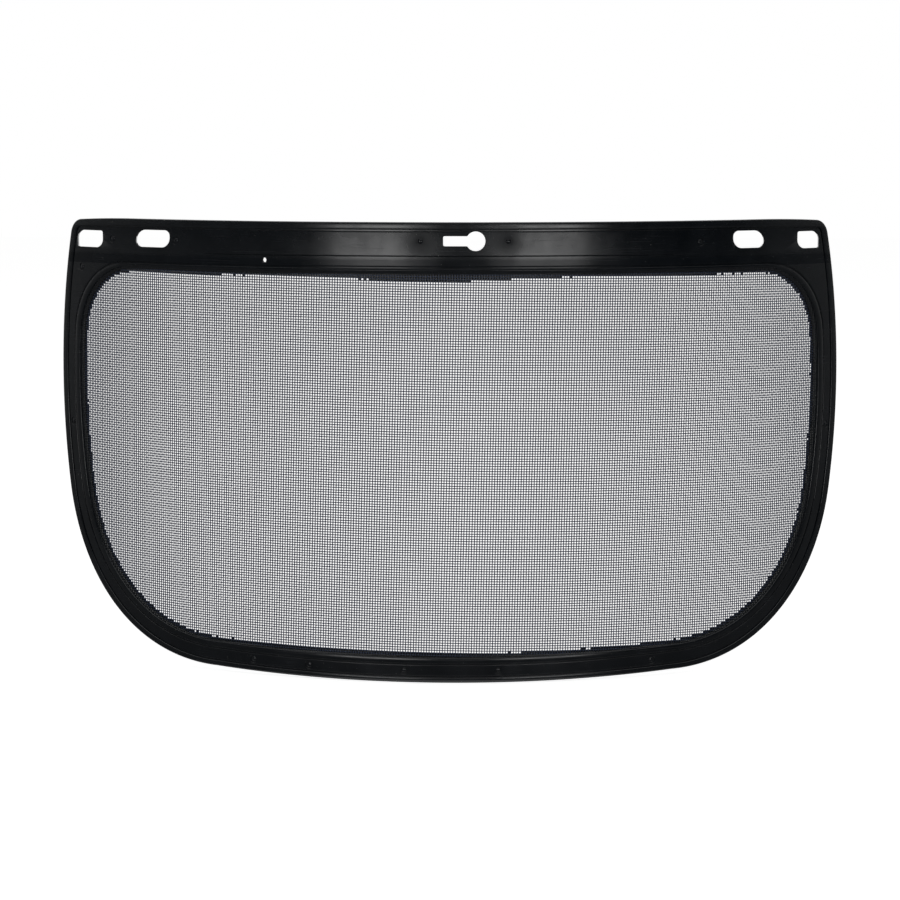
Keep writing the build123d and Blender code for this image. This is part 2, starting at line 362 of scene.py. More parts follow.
def wrap_mesh(mesh: bpy.types.Mesh, bend: Bend) -> None:
    """Bends a flat mesh to the cylinder, keeping its flat place as an attribute."""
    flat = read_points(mesh)
    store = mesh.attributes.new("flat", "FLOAT_VECTOR", "POINT")
    store.data.foreach_set("vector", flat.astype(np.float32).ravel())
    mesh.vertices.foreach_set("co", bend.wrap(flat).astype(np.float32).ravel())
    mesh.update()


def read_points(mesh: bpy.types.Mesh) -> np.ndarray:
    """Reads a mesh's points as rows of three numbers."""
    flat = np.empty(len(mesh.vertices) * 3)
    mesh.vertices.foreach_get("co", flat)
    return flat.reshape(-1, 3)


def store_mask(mesh: bpy.types.Mesh, name: str, values: np.ndarray) -> None:
    """Stores one number from 0 to 1 for each point of a mesh."""
    mask = mesh.attributes.new(name, "FLOAT", "POINT")
    mask.data.foreach_set("value", np.clip(values, 0, 1).astype(np.float32))


def panel(name: str, outline: np.ndarray) -> bpy.types.Object:
    """Makes a flat face inside an outline, to grow other pieces from."""
    mesh = bpy.data.meshes.new(name)
    points = [(x, z, 0.0) for x, z in outline[::-1]]
    mesh.from_pydata(points, [], [tuple(range(len(points)))])
    return link_piece(name, mesh)


def geometry_tree(name: str, values: dict[str, Any]) -> tuple[bpy.types.NodeTree, Any, Put]:
    """Starts a geometry tree with named inputs.

    Args:
        name: What the tree makes.
        values: The inputs by name, whose kinds give the kinds of their sockets.

    Returns:
        The tree, its inputs, and the function that adds nodes to it.
    """
    tree = bpy.data.node_groups.new(name, "GeometryNodeTree")
    for way in ("INPUT", "OUTPUT"):
        tree.interface.new_socket("Geometry", in_out=way, socket_type="NodeSocketGeometry")
    for label, value in values.items():
        kind = SOCKET_KINDS[type(value)]
        tree.interface.new_socket(label, in_out="INPUT", socket_type=f"NodeSocket{kind}")
    return tree, tree.nodes.new("NodeGroupInput").outputs, putter(tree)


def labelled(source: Any, *names: str) -> dict[str, Any]:
    """Values of a piece's fields, under the labels that its tree's inputs have."""
    return {name.replace("_", " ").title(): getattr(source, name) for name in names}


def close_tree(tree: bpy.types.NodeTree, geometry: bpy.types.NodeSocket, finish: Any) -> None:
    """Ends a tree in smooth faces, realised instances and a material."""
    put = putter(tree)
    smoothed = put("GeometryNodeSetShadeSmooth", {"Geometry": geometry})[0]
    real = put("GeometryNodeRealizeInstances", {"Geometry": smoothed})[0]
    dressed = put("GeometryNodeSetMaterial", {"Geometry": real, "Material": finish})[0]
    put("NodeGroupOutput", {"Geometry": dressed})


def grow(piece: bpy.types.Object, tree: bpy.types.NodeTree, values: dict[str, Any]) -> None:
    """Runs a geometry tree on a piece and keeps the result as its plain mesh.

    Args:
        piece: The object that the tree starts from.
        tree: The geometry tree.
        values: The tree's inputs by name.
    """
    modifier = piece.modifiers.new(tree.name, "NODES")
    modifier.node_group = tree
    for item in tree.interface.items_tree:
        if item.item_type == "SOCKET" and item.in_out == "INPUT" and item.name in values:
            modifier[item.identifier] = values[item.name]
    settle(piece)


# --- finishes -------------------------------------------------------------------------------


@dataclass(frozen=True)
class MouldedPolypropylene:
    """Black polypropylene, injection moulded round the wires.

    A satin black with a faint cold cast: the gloss wanders slowly where the melt met the
    steel mould, flow halos pale round the pins, handling leaves fine scuffs and dust.
    """

    black: str = "#13171b"
    bloom: str = "#292d33"
    dust: str = "#8b8b86"
    roughness: float = 0.19
    drift: Place = (-0.04, 0.07)
    flow_size: float = 14.0 * MM
    skin_size: float = 0.9 * MM
    scuff_size: Place = (26.0 * MM, 0.5 * MM)
    scuff_turn: float = 2.0
    speck_size: float = 0.9 * MM
    wire_gap: Place = (1.168 * MM, 1.116 * MM)
    shine: float = 0.5
    polish: Place = (0.74, 1.12)
    polish_reach: Place = (3.9 * MM, -6.8 * MM)
    rim_polish: float = 1.75
    rim_fade: float = 0.6 * MM
    foot_polish: float = 0.46
    foot_reach: Place = (-6.9 * MM, -12.2 * MM)
    foot_fades: Place = (1.6 * MM, 0.5 * MM)

    def material(self, name: str) -> bpy.types.Material:
        """Builds the material.

        Args:
            name: Name of the material.

        Returns:
            The material, which reads the attributes flat, imprint and halo.
        """
        material, put = new_material(name)
        place = put(TEXTURE_PLACE)["Object"]
        length, width = self.scuff_size
        laid = put(
            "ShaderNodeMapping",
            {
                "Vector": place,
                "Rotation": (0.0, math.radians(self.scuff_turn), 0.0),
                "Scale": (1 / length, 1 / length, 1 / width),
            },
        )["Vector"]
        flow, skin, scuffs, specks = (
            put(NOISE, {"Vector": where, "Scale": scale, "Detail": detail, "Roughness": rough})["Fac"]
            for where, scale, detail, rough in (
                (place, 1 / self.flow_size, 4.0, 0.6),
                (place, 1 / self.skin_size, 2.0, 0.5),
                (laid, 1.0, 3.0, 0.5),
                (place, 1 / self.speck_size, 1.0, 0.5),
            )
        )
        scuff, speck, mottle, gloss = (
            put(
                MAP_RANGE,
                {"Value": value, "From Min": low, "From Max": high, "To Min": first, "To Max": last},
            )["Result"]
            for value, low, high, first, last in (
                (scuffs, 0.62, 0.74, 0.0, 1.0),
                (specks, 0.76, 0.82, 0.0, 0.5),
                (flow, 0.35, 0.75, 0.0, 0.3),
                (flow, 0.3, 0.7, *(self.roughness + change for change in self.drift)),
            )
        )
        colour = linear(self.black)
        for share, over in ((mottle, self.bloom), (speck, self.dust)):
            colour = put(
                MIX, {"Factor": share, "A_Color": colour, "B_Color": linear(over)}, data_type="RGBA"
            )[2]
        halo, imprint = (put(ATTRIBUTE, attribute_name=mask)["Fac"] for mask in ("halo", "imprint"))
        dull = gloss
        for mask, duller in ((scuff, 0.12), (halo, 0.45)):
            dull = put(MATH, {0: mask, 1: duller, 2: dull}, operation="MULTIPLY_ADD")[0]
        ridges = self.wire_ridges(put)
        pressed = put(MATH, {0: ridges, 1: imprint}, operation="MULTIPLY")[0]
        grain = put(
            "ShaderNodeBump", {"Strength": 0.12, "Distance": 0.05 * MM, "Height": skin}
        )["Normal"]
        relief = put(
            "ShaderNodeBump",
            {"Strength": 0.9, "Distance": 0.12 * MM, "Height": pressed, "Normal": grain},
        )["Normal"]
        shader = put(
            "ShaderNodeBsdfPrincipled",
            {
                "Base Color": colour,
                "Roughness": dull,
                "IOR": 1.49,
                # the specular level carries a painted sheen: brighter down the top band and on the rim,
                # duller at the band's foot
                "Specular IOR Level": self.polish_level(put),
                "Normal": relief,
            },
        )["BSDF"]
        put("ShaderNodeOutputMaterial", {"Surface": shader})
        return material

    def polish_level(self, put: Put) -> bpy.types.NodeSocket:
        """Adds a painted sheen: the specular level is painted brighter down the top band and on the rim,
        and duller at the band's foot, where the lamps' reflection should fall.

        Args:
            put: Adds a node to the material.

        Returns:
            The specular level, with the painted sheen in it.
        """
        flat = put(ATTRIBUTE, attribute_name="flat")["Vector"]
        height = put(SEPARATE, {0: flat})[1]
        upper, lower = self.polish_reach
        head, foot = self.foot_reach
        head_fade, foot_fade = self.foot_fades
        face, strip, below, rim = (
            put(
                MAP_RANGE,
                {"Value": height, "From Min": end, "From Max": start, "To Min": last, "To Max": first},
            )["Result"]
            for start, end, first, last in (
                (upper, lower, *self.polish),
                (head, head - head_fade, 1.0, self.foot_polish),
                (foot, foot - foot_fade, 0.0, 1.0),
                (upper + self.rim_fade, upper, self.rim_polish, 0.0),
            )
        )
        level = strip
        for step, other in (
            ("MAXIMUM", below),
            ("MAXIMUM", rim),
            ("MULTIPLY", face),
            ("MULTIPLY", self.shine),
        ):
            level = put(MATH, {0: level, 1: other}, operation=step)[0]
        return level

    def wire_ridges(self, put: Put) -> bpy.types.NodeSocket:
        """Adds the print of the wires under the thin lip, from the flat place.

        Args:
            put: Adds a node to the material.

        Returns:
            A height that peaks over each wire.
        """
        flat = put(ATTRIBUTE, attribute_name="flat")["Vector"]
        turns = put(
            VECTOR_MATH,
            {0: flat, 1: (math.tau / self.wire_gap[0], math.tau / self.wire_gap[1], 0.0)},
            operation="MULTIPLY",
        )[0]
        waves = put(VECTOR_MATH, {0: turns}, operation="COSINE")[0]
        parts = put(SEPARATE, {0: waves})
        return put(MATH, {0: parts[0], 1: parts[1]}, operation="MAXIMUM")[0]


@dataclass(frozen=True)
class CoatedSteelWire:
    """Low-carbon steel wire, woven and dipped in black polyester.

    The coat pools at the crossings, so the wires are soft grey-black with a dull shine.
    """

    coat: str = "#37435f"
    worn: str = "#4b556c"
    rust: str = "#6b3d22"
    roughness: float = 0.42
    drift: float = 9.0 * MM
    rust_size: float = 5.0 * MM

    def material(self, name: str) -> bpy.types.Material:
        """Builds the material.

        Args:
            name: Name of the material.

        Returns:
            The material.
        """
        material, put = new_material(name)
        place = put(TEXTURE_PLACE)["Object"]
        drift, spots = (
            put(
                NOISE,
                {"Vector": place, "Scale": 1 / size, "Detail": detail, "Roughness": rough},
            )["Fac"]
            for size, detail, rough in ((self.drift, 5.0, 0.7), (self.rust_size, 3.0, 0.5))
        )
        wear, rusty, gloss = (
            put(
                MAP_RANGE,
                {"Value": value, "From Min": low, "From Max": high, "To Min": first, "To Max": last},
            )["Result"]
            for value, low, high, first, last in (
                (drift, 0.4, 0.75, 0.0, 1.0),
                (spots, 0.76, 0.82, 0.0, 1.0),
                (drift, 0.0, 1.0, self.roughness - 0.08, self.roughness + 0.15),
            )
        )
        colour = linear(self.coat)
        for share, over in ((wear, self.worn), (rusty, self.rust)):
            colour = put(
                MIX, {"Factor": share, "A_Color": colour, "B_Color": linear(over)}, data_type="RGBA"
            )[2]
        shader = put(
            "ShaderNodeBsdfPrincipled", {"Base Color": colour, "Roughness": gloss, "IOR": 1.5}
        )["BSDF"]
        put("ShaderNodeOutputMaterial", {"Surface": shader})
        return material


# --- the moulded border ---------------------------------------------------------------------


@dataclass(frozen=True)
class Opening:
    """A hole or recess cut square to the bend, as a closed outline in the flat.

    One with a ``bend`` is cut straight back instead, the way the mould opens, and its
    outline is the one seen from the front.
    """

    outline: np.ndarray
    low: float
    high: float
    ease: float = 0.22 * MM
    bend: Bend | None = None

    def rings(self) -> list[tuple[float, float]]:
        """Height and outward flare of each ring of the cutting tool."""
        beyond = 2.0 * MM
        top = [(self.high - self.ease, 0.0), (self.high, self.ease)]
        top.append((self.high + beyond, self.ease + beyond))
        if self.low > 0:
            return [(self.low, 0.0), *top]
        foot = [(self.low - beyond, self.ease + beyond), (self.low, self.ease)]
        return [*foot, (self.low + self.ease, 0.0), *top]

    def add_to(self, work: bmesh.types.BMesh) -> None:
        """Adds the cutting tool to a mesh."""
        along = np.roll(self.outline, -1, axis=0) - np.roll(self.outline, 1, axis=0)
        outward = np.stack([along[:, 1], -along[:, 0]], axis=1)
        outward /= np.linalg.norm(outward, axis=1)[:, None]
        loops = []
        for height, flare in self.rings():
            grown = self.outline + outward * flare
            if self.bend:
                reach = self.bend.radius + height
                grown[:, 0] = self.bend.radius * np.arcsin(grown[:, 0] / reach)
            loops.append([work.verts.new((x, z, height)) for x, z in grown])
        count = len(self.outline)
        for lower, upper in zip(loops, loops[1:]):
            for i in range(count):
                k = (i + 1) % count
                work.faces.new((lower[i], lower[k], upper[k], upper[i]))
        work.faces.new(loops[0][::-1])
        work.faces.new(loops[-1])


def arc_points(x: float, z: float, radius: float, start: float, end: float) -> np.ndarray:
    """Points on an arc of the flat pattern, with its angles in degrees."""
    steps = max(4, int(abs(end - start) / 7))
    turns = np.radians(np.linspace(start, end, steps + 1))
    return np.stack([x + radius * np.cos(turns), z + radius * np.sin(turns)], axis=1)


def rounded_slot(x: float, z: float, size: Place, corners: Sequence[float]) -> np.ndarray:
    """Outline of a slot.

    Args:
        x: Middle of the slot along the bend.
        z: Middle of the slot in height.
        size: Length and height.
        corners: Radii of the upper right, upper left, lower left and lower right corners.

    Returns:
        Rows of x and z, anticlockwise.
    """
    parts = []
    ways = ((1, 1), (-1, 1), (-1, -1), (1, -1))
    for turn, (radius, (right, up)) in enumerate(zip(corners, ways)):
        centre_x = x + right * (size[0] / 2 - radius)
        centre_z = z + up * (size[1] / 2 - radius)
        parts.append(arc_points(centre_x, centre_z, radius, 90 * turn, 90 * turn + 90))
    return np.concatenate(parts)


@dataclass(frozen=True)
class Slot:
    """A side slot seen square on, with corner radii from the upper outer one inwards."""

    x: float
    length: float
    drop: float
    corners: tuple[float, float, float, float]
    height: float = 7.8 * MM

    def outline(self) -> np.ndarray:
        """Outline of the slot, as it is seen from straight in front."""
        order = (0, 1, 2, 3) if self.x > 0 else (1, 0, 3, 2)
        corners = [self.corners[i] for i in order]
        return rounded_slot(self.x, -self.drop, (self.length, self.height), corners)


@dataclass
class MouldedBorder:
    """The border: rim, wide band, inner bead and the thin lip over the screen."""

    pattern: FlatPattern
    bend: Bend
    rear: float = -1.2 * MM
    edge_low: float = -0.9 * MM
    groove_rise: float = 0.8 * MM
    band_rise: float = 1.2 * MM
    rim_rise: float = 1.6 * MM
    bead_rise: float = 1.5 * MM
    lip_cover: float = 0.7 * MM
    lip_held_back: float = 0.7 * MM
    lip_slope: Place = (0.25, 0.05)
    lip_blunt: float = 0.2 * MM
    rear_eases: Place = (0.25, 0.07)
    edge_eases: Place = (0.3, 0.09)
    least_corner: float = 0.3 * MM
    band_steps: tuple[Place, ...] = (
        (0.03, 0.0),
        (0.35, 0.0),
        (0.665, 0.0),
        (0.685, 0.0),
        (0.7, 0.2),
        (0.71, 1.9),
        (0.72, 1.0),
        (0.735, 1.0),
        (0.85, 1.0),
        (0.97, 1.0),
    )
    step_drop: float = 0.2 * MM
    step_reach: float = 118.0 * MM
    step_fading: float = 22.0 * MM
    lower_half: float = -30.0 * MM
    rim_eases: Place = (0.5, 0.35)
    rim_crest: float = 0.06 * MM
    band_eases: Place = (0.25, 0.3)
    bead_ease: float = 0.35
    bead_crown: float = 0.12 * MM
    seat_x: float = 2.7 * MM
    keyhole_shift: float = 11.9 * MM
    entry_diameter: float = 8.5 * MM
    seat_height: float = 4.4 * MM
    seat_corner: float = 0.8 * MM
    slots: tuple[Slot, ...] = (
        Slot(-131.2 * MM, 16.7 * MM, 0.6 * MM, INNER_SLOT_CORNERS),
        Slot(135.5 * MM, 14.4 * MM, 0.6 * MM, INNER_SLOT_CORNERS),
        Slot(-163.7 * MM, 13.6 * MM, 1.6 * MM, OUTER_SLOT_CORNERS),
        Slot(164.3 * MM, 10.5 * MM, 1.6 * MM, OUTER_SLOT_CORNERS),
    )
    locating_hole: tuple[float, float, float] = (-79.5 * MM, -8.8 * MM, 1.1 * MM)
    mark_radius: float = 1.8 * MM
    mark_depth: float = 0.3 * MM
    mark_ease: float = 0.08 * MM
    slot_ease: float = 0.12 * MM
    halo_reach: float = 5.5 * MM
    halo_strength: float = 0.6
    band_foot: float = -10.5 * MM
    slots_margin: float = 24.0 * MM
    sharp_degrees: float = 34.0
    keyhole_mark_span: float = 38.0 * MM
    top_marks: tuple[float, ...] = (-161.0 * MM, -124.0 * MM, 116.5 * MM)
    top_marks_drop: float = 1.2 * MM
    shoulder_mark: Place = (-182.2 * MM, -14.6 * MM)
    side_marks_drop: float = 87.0 * MM
    bottom_marks: tuple[float, ...] = tuple(x * MM for x in (-86.5, -59.9, -16.9, 24.9, 95.0))

    def ring(self, edge: str, offset: float, rise: float) -> np.ndarray:
        """One closed line round the border, at an offset inwards from a named edge."""
        insets, corner = self.pattern.edges[edge]
        moved = tuple(width + offset * MM for width in insets)
        corner = max(corner - offset * MM, self.least_corner)
        flat = self.pattern.outline((moved[0], moved[1], moved[2]), corner)
        return np.column_stack([flat, np.full(len(flat), rise)])

    def rounded(self, edge: str, low: float, high: float, ease: float, way: int) -> list[np.ndarray]:
        """A wall at a named edge with its upper corner eased.

        Args:
            edge: The named edge.
            low: Rise at the foot of the wall.
            high: Rise at its head.
            ease: Radius of the eased corner, in millimetres.
            way: 1 where the head lies inwards of the wall, -1 where it lies outwards.

        Returns:
            Rings from the foot to the head.
        """
        rings = [self.ring(edge, 0, low)]
        for step in range(4):
            turn = math.pi / 2 * step / 3
            shift = way * ease * (1 - math.cos(turn))
            rings.append(self.ring(edge, shift, high - ease * MM * (1 - math.sin(turn))))
        return rings

    def between(self, first: np.ndarray, last: np.ndarray, count: int, crown: float) -> list[np.ndarray]:
        """Rings between two others, raised to a crown in the middle."""
        rings = []
        for step in range(1, count + 1):
            share = step / (count + 1)
            ring = first * (1 - share) + last * share
            ring[:, 2] += crown * 4 * share * (1 - share)
            rings.append(ring)
        return rings

    def band_rings(self) -> list[np.ndarray]:
        """The wide band, with the fine step that runs across its middle."""
        outer = self.rounded("band_outer", self.groove_rise, self.band_rise, self.band_eases[0], 1)
        inner = self.rounded("band_inner", self.groove_rise, self.band_rise, self.band_eases[1], -1)
        inner.reverse()
        fade = self.step_fade(inner[0])
        for ring in inner[:4]:
            ring[:, 2] -= self.step_drop * fade
        middle = []
        for share, drop in self.band_steps:
            ring = outer[-1] * (1 - share) + inner[0] * share
            ring[:, 2] = self.band_rise - self.step_drop * drop * fade
            middle.append(ring)
        return [*outer, *middle, *inner]

    def step_fade(self, ring: np.ndarray) -> np.ndarray:
        """How strongly the fine step shows at each place round the border."""
        reach = np.clip((self.step_reach - np.abs(ring[:, 0])) / self.step_fading, 0, 1)
        return reach * (ring[:, 1] > self.lower_half)

    def rings(self) -> list[np.ndarray]:
        """Every ring of the section, from the rear outer edge round the front and back."""
        rim_top, bead_top = self.rim_rise - self.rim_crest, self.bead_rise - self.bead_crown
        edge = self.rounded("edge", self.edge_low, rim_top, self.rim_eases[0], 1)
        rim = self.rounded("rim_inner", self.groove_rise, rim_top, self.rim_eases[1], -1)[::-1]
        crest = self.between(edge[-1], rim[0], 5, self.rim_crest)
        bead_outer = self.rounded("bead_outer", self.groove_rise, bead_top, self.bead_ease, 1)
        bead_inner = self.rounded("bead_inner", self.lip_cover, bead_top, self.bead_ease, -1)[::-1]
        crown = self.between(bead_outer[-1], bead_inner[0], 3, self.bead_crown)
        held = -self.lip_held_back / MM
        slope, shave = self.lip_slope
        cover, blunt = self.lip_cover - shave * MM, self.lip_cover - self.lip_blunt
        rear_ease, rear_bevel = self.rear_eases
        edge_ease, edge_bevel = self.edge_eases
        back = (
            ("window", held - slope, cover),
            ("window", held, blunt),
            ("window", held, -blunt),
            ("window", held - slope, -cover),
            ("bead_inner", 0, -self.lip_cover),
            ("bead_inner", 0, self.rear + rear_ease * MM),
            ("bead_inner", -rear_bevel, self.rear + rear_bevel * MM),
            ("bead_inner", -rear_ease, self.rear),
            ("bead_outer", 0, self.rear),
            ("band_outer", 0, self.rear),
            ("edge", edge_ease, self.rear),
            ("edge", edge_bevel, self.rear + edge_bevel * MM),
        )
        lined = [self.ring(*section) for section in back]
        return [*edge, *crest, *rim, *self.band_rings(), *bead_outer, *crown, *bead_inner, *lined]

    def blank(self) -> bpy.types.Mesh:
        """The border in the flat, before its openings are cut."""
        rings = self.rings()
        count = len(rings[0])
        points = np.concatenate(rings)
        faces = []
        for j in range(len(rings)):
            after = (j + 1) % len(rings)
            for i in range(count):
                k = (i + 1) % count
                faces.append((j * count + i, after * count + i, after * count + k, j * count + k))
        mesh = bpy.data.meshes.new("border_blank")
        mesh.from_pydata(points.tolist(), [], faces)
        return mesh

    def marks(self) -> list[Place]:
        """Places of the mould's pin marks in the flat."""
        bulge = (self.entry_diameter - self.seat_height) / 2
        middle = self.seat_x + (self.keyhole_shift + bulge) / 2
        half = self.keyhole_mark_span / 2
        places = [(middle - half, 0.0), (middle + half, 0.0), self.shoulder_mark]
        places += [(x, -self.top_marks_drop) for x in self.top_marks]
        outer, inner = (self.pattern.edges[name] for name in ("band_outer", "band_inner"))
        for x in self.bottom_marks:
            levels = [self.lower_edge(x, *edge) for edge in (outer, inner)]
            places.append((x, sum(levels) / 2))
        side = self.side_edge(-self.side_marks_drop, *outer) - self.mark_radius - self.pattern.groove
        places += [(way * side, -self.side_marks_drop) for way in (-1, 1)]
        return places

    def lower_edge(self, x: float, insets: Insets, corner: float) -> float:
        """Height of an edge's lower stretch at a place along the bend."""
        half = self.pattern.half_outline(insets, corner)[-self.pattern.steps[5] - 40 :]
        return float(np.interp(abs(x), half[::-1, 0], half[::-1, 1]))

    def side_edge(self, z: float, insets: Insets, corner: float) -> float:
        """Distance of an edge's side stretch from the middle at a height."""
        half = self.pattern.half_outline(insets, corner)
        start = sum(self.pattern.steps[:3])
        side = half[start : start + self.pattern.steps[3]]
        return float(np.interp(-z, -side[:, 1], side[:, 0]))

    def keyhole(self) -> np.ndarray:
        """Outline of the round entry and the narrow seat beside it."""
        radius = self.entry_diameter / 2
        entry_x = self.seat_x + self.keyhole_shift
        mouth = math.degrees(math.asin(self.seat_height / 2 / radius))
        end_x = self.seat_x - self.seat_height / 2 + self.seat_corner
        end_z = self.seat_height / 2 - self.seat_corner
        entry = arc_points(entry_x, 0.0, radius, mouth - 180, 180 - mouth)
        upper = arc_points(end_x, end_z, self.seat_corner, 90, 180)
        lower = arc_points(end_x, -end_z, self.seat_corner, 180, 270)
        return np.concatenate([entry, upper, lower])

    def openings(self) -> Iterable[Opening]:
        """Keyhole, side slots, locating hole and pin recesses."""
        yield Opening(self.keyhole(), self.rear, self.band_rise)
        for slot in self.slots:
            yield Opening(slot.outline(), self.rear, self.band_rise, self.slot_ease, self.bend)
        x, z, radius = self.locating_hole
        yield Opening(arc_points(x, z, radius, 0, 345), self.rear, self.band_rise - self.step_drop)
        for x, z in self.marks():
            disc = arc_points(x, z, self.mark_radius, 0, 352)
            yield Opening(disc, self.band_rise - self.mark_depth, self.band_rise, self.mark_ease)

    def cut(self, piece: bpy.types.Object) -> None:
        """Cuts every opening through the flat border."""
        work = bmesh.new()
        for opening in self.openings():
            opening.add_to(work)
        bmesh.ops.recalc_face_normals(work, faces=work.faces)
        mesh = bpy.data.meshes.new("cutting_tools")
        work.to_mesh(mesh)
        work.free()
        tools = link_piece("cutting_tools", mesh)
        modifier = piece.modifiers.new("Openings", "BOOLEAN")
        modifier.operation = "DIFFERENCE"
        modifier.solver = "EXACT"
        modifier.object = tools
        settle(piece)
        bpy.data.objects.remove(tools)

    def mask_points(self, mesh: bpy.types.Mesh) -> None:
        """Stores where the wires print through and where the melt flowed round a pin."""
        flat = read_points(mesh)
        store_mask(mesh, "imprint", (np.abs(flat[:, 2]) < self.lip_cover + 0.02 * MM) * 1.0)
        halo = np.zeros(len(flat))
        for x, z in self.marks()[:2]:
            distance = np.hypot(flat[:, 0] - x, flat[:, 1] - z)
            halo = np.maximum(halo, np.exp(-((distance / self.halo_reach) ** 2)))
        store_mask(mesh, "halo", halo * self.halo_strength)

    def walls(self, mesh: bpy.types.Mesh) -> np.ndarray:
        """Numbers of the flat mesh's faces that line the openings."""
        count = len(mesh.polygons)
        normals, middles = np.empty(count * 3), np.empty(count * 3)
        mesh.polygons.foreach_get("normal", normals)
        mesh.polygons.foreach_get("center", middles)
        upright = np.abs(normals[2::3]) < 0.5
        middles = middles.reshape(-1, 3)
        top = self.pattern.top_z - self.pattern.rim[2] - self.pattern.groove
        in_band = (middles[:, 1] < top) & (middles[:, 1] > self.band_foot)
        reach = self.slots[-1].x + self.slots_margin
        in_band &= np.abs(middles[:, 0]) < reach
        level = (middles[:, 2] < self.band_rise - 0.05 * MM) & (middles[:, 2] > self.rear)
        return np.flatnonzero(upright & in_band & level)

    def build(self, finish: bpy.types.Material, painted_shade_lining: bpy.types.Material) -> bpy.types.Object:
        """Builds the border.

        Args:
            finish: Its material.
            painted_shade_lining: Material of the walls inside its openings, a darker and duller copy of
                the plastic that paints in their shade.

        Returns:
            The finished piece.
        """
        piece = link_piece("border_moulding", self.blank())
        self.cut(piece)
        mesh = piece.data
        self.mask_points(mesh)
        # faces that line the openings take the second, darker finish, which is painted shade inside them
        kinds = np.zeros(len(mesh.polygons), dtype=np.int32)
        kinds[self.walls(mesh)] = 1
        wrap_mesh(mesh, self.bend)
        smooth(mesh, self.sharp_degrees)
        mesh.materials.clear()
        for material in (finish, painted_shade_lining):
            mesh.materials.append(material)
        mesh.polygons.foreach_set("material_index", kinds)
        finish_piece(piece, "border_plastic", "moulded_border")
        return piece


@dataclass
class PinDomes:
    """Small turned domes that the mould's pins leave in their recesses."""

    border: MouldedBorder
    radius: float = 1.15 * MM
    height: float = 0.45 * MM
    segments: int = 24
    rings: int = 10

    def tree(self, values: dict[str, Any]) -> bpy.types.NodeTree:
        """Geometry tree that sets one flattened ball on each point."""
        tree, inputs, put = geometry_tree("Pin domes", values)
        ball = put(
            "GeometryNodeMeshUVSphere",
            {"Segments": inputs["Segments"], "Rings": inputs["Rings"], "Radius": 1.0},
        )["Mesh"]
        size = put(COMBINE, {0: inputs["Radius"], 1: inputs["Radius"], 2: inputs["Height"]})[0]
        balls = put(
            "GeometryNodeInstanceOnPoints",
            {"Points": inputs["Geometry"], "Instance": ball, "Scale": size},
        )["Instances"]
        close_tree(tree, balls, inputs["Finish"])
        return tree

    def build(self, finish: bpy.types.Material) -> bpy.types.Object:
        """Builds the domes as one piece."""
        floor = self.border.band_rise - self.border.mark_depth
        mesh = bpy.data.meshes.new("pin_domes")
        mesh.from_pydata([(x, z, floor) for x, z in self.border.marks()], [], [])
        piece = link_piece("pin_domes", mesh)
        values = labelled(self, "radius", "height", "segments", "rings") | {"Finish": finish}
        grow(piece, self.tree(values), values)
        wrap_mesh(piece.data, self.border.bend)
        finish_piece(piece, "border_plastic")
        return piece


# --- the woven screen -----------------------------------------------------------------------


@dataclass(frozen=True)
class Lay:
    """How the woven screen lies in the border: its gaps, and how far it is out of square."""

    upright_gap: float = 1.168 * MM
    level_gap: float = 1.116 * MM
    lean: float = 0.026
    drop: float = 0.0148
    middle: float = -93.0 * MM
    wander: float = 0.22 * MM
    columns: int = 345
    rows: int = 170

    def values(self) -> dict[str, Any]:
        """Values of the inputs that a lay gives."""
        return labelled(self, *(part.name for part in fields(self)))


WANDER_SCALES = (900.0, 22.0)


def laid_grid(inputs: Any, put: Put, rise: Any, fewer: int) -> bpy.types.NodeSocket:
    """Adds a grid of crossings, out of square as the screen lies.

    Args:
        inputs: The tree's named inputs.
        put: Adds a node to the tree.
        rise: Height in front of the screen, a number or a field.
        fewer: 1 for the openings between the wires, 0 for their crossings.

    Returns:
        The grid.
    """
    counts, spans = [], []
    for number, gap in (("Columns", "Upright Gap"), ("Rows", "Level Gap")):
        count = put(MATH, {0: inputs[number], 1: fewer}, operation="SUBTRACT")[0]
        size = put(MATH, {0: count, 1: inputs[gap]}, operation="MULTIPLY")[0]
        span = put(MATH, {0: size, 1: inputs[gap]}, operation="SUBTRACT")[0]
        counts.append(count)
        spans.append(span)
    grid = put(
        "GeometryNodeMeshGrid",
        {"Size X": spans[0], "Size Y": spans[1], "Vertices X": counts[0], "Vertices Y": counts[1]},
    )["Mesh"]
    square = put(SEPARATE, {0: put("GeometryNodeInputPosition")[0]})
    x = put(MATH, {0: square[1], 1: inputs["Lean"], 2: square[0]}, operation="MULTIPLY_ADD")[0]
    fall = put(MATH, {0: square[0], 1: inputs["Drop"]}, operation="MULTIPLY")[0]
    level = put(MATH, {0: square[1], 1: fall}, operation="SUBTRACT")[0]
    z = put(MATH, {0: level, 1: inputs["Middle"]}, operation="ADD")[0]
    place = put(COMBINE, {0: x, 1: z, 2: rise})[0]
    shifts = []
    for across, along in (WANDER_SCALES, WANDER_SCALES[::-1]):
        stretched = put(
            VECTOR_MATH,
            {0: put("GeometryNodeInputPosition")[0], 1: (across, along, 0.0)},
            operation="MULTIPLY",
        )[0]
        noise = put(NOISE, {"Vector": stretched, "Scale": 1.0})["Fac"]
        shifts.append(put(MATH, {0: noise, 1: 0.5}, operation="SUBTRACT")[0])
    uneven = put(COMBINE, {0: shifts[0], 1: shifts[1]})[0]
    offset = put(VECTOR_MATH, {0: uneven, "Scale": inputs["Wander"]}, operation="SCALE")[0]
    return put("GeometryNodeSetPosition", {"Geometry": grid, "Position": place, "Offset": offset})[0]


